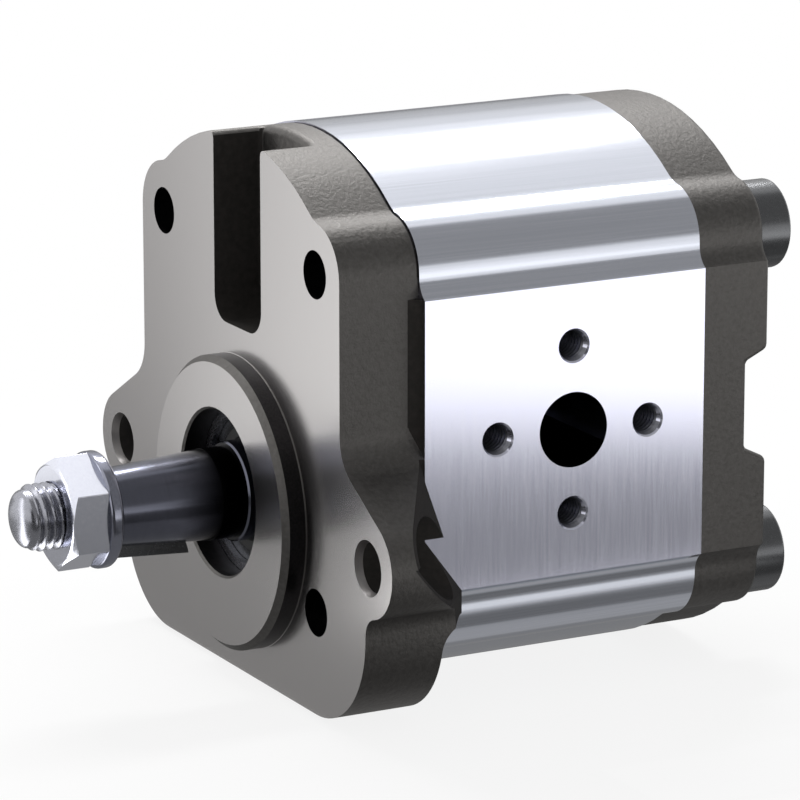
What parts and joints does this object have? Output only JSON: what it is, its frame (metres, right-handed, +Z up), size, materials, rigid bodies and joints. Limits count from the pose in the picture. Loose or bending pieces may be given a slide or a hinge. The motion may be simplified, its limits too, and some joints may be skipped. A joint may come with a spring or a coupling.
{
  "type": "hydraulic gear pump",
  "caption": "External gear pump with a cast mounting flange, an extruded aluminium body, side ports and a tapered keyed drive shaft.",
  "frame": {"origin": "On the locating spigot's axis, in the plane of the mounting flange's face. The drive shaft's axis is 2 mm above it.", "axes": "+Y runs along the shaft from the flange face into the pump, so the shaft end points to -Y; +Z is up, from the drive gear to the driven gear; +X points out of the pressure port."},
  "size_m": [0.1164, 0.1344, 0.099],
  "materials": {
    "cast_iron": "rough cast, dark, machined on the mounting face",
    "extruded_aluminium": "extruded with fine lengthwise lines, milled port faces",
    "bearing_aluminium": "machined",
    "shaft_steel": "hardened and ground",
    "bolt_steel": "blackened, satin",
    "zinc_plate": "zinc plated, bright",
    "bronze": "sintered bronze on steel",
    "nitrile_rubber": "moulded, matt",
    "backup_plastic": "moulded"
  },
  "bodies": {
    "housing": {"front_cover": "cast_iron", "pump_body": "extruded_aluminium", "rear_cover": "cast_iron", "through_bolts": "bolt_steel", "front_dowel_pins": "shaft_steel", "rear_dowel_pins": "shaft_steel", "front_body_seal": "nitrile_rubber", "rear_body_seal": "nitrile_rubber", "front_bearing_block": "bearing_aluminium", "rear_bearing_block": "bearing_aluminium", "drive_front_bush": "bronze", "drive_rear_bush": "bronze", "driven_front_bush": "bronze", "driven_rear_bush": "bronze", "front_pressure_seal": "nitrile_rubber", "rear_pressure_seal": "nitrile_rubber", "front_backup_ring": "backup_plastic", "rear_backup_ring": "backup_plastic", "shaft_seal_case": "shaft_steel", "shaft_seal_lip": "nitrile_rubber", "garter_spring": "zinc_plate", "seal_circlip": "bolt_steel"},
    "drive_shaft": {"drive_gear_shaft": "shaft_steel", "shaft_key": "bolt_steel", "lock_washer": "zinc_plate", "shaft_nut": "zinc_plate"},
    "driven_shaft": {"driven_gear_shaft": "shaft_steel"}
  },
  "joints": [
    {"name": "drive_spin", "type": "hinge", "parent": "housing", "child": "drive_shaft", "pos_m": [0, 0, 0.002], "axis": [0, 1, 0], "continuous": true},
    {"name": "driven_spin", "type": "hinge", "parent": "housing", "child": "driven_shaft", "pos_m": [0, 0, 0.0322], "axis": [0, 1, 0], "continuous": true}
  ],
  "couplings": [
    {"joint": "driven_spin", "follows": "drive_spin", "ratio": -1}
  ]
}
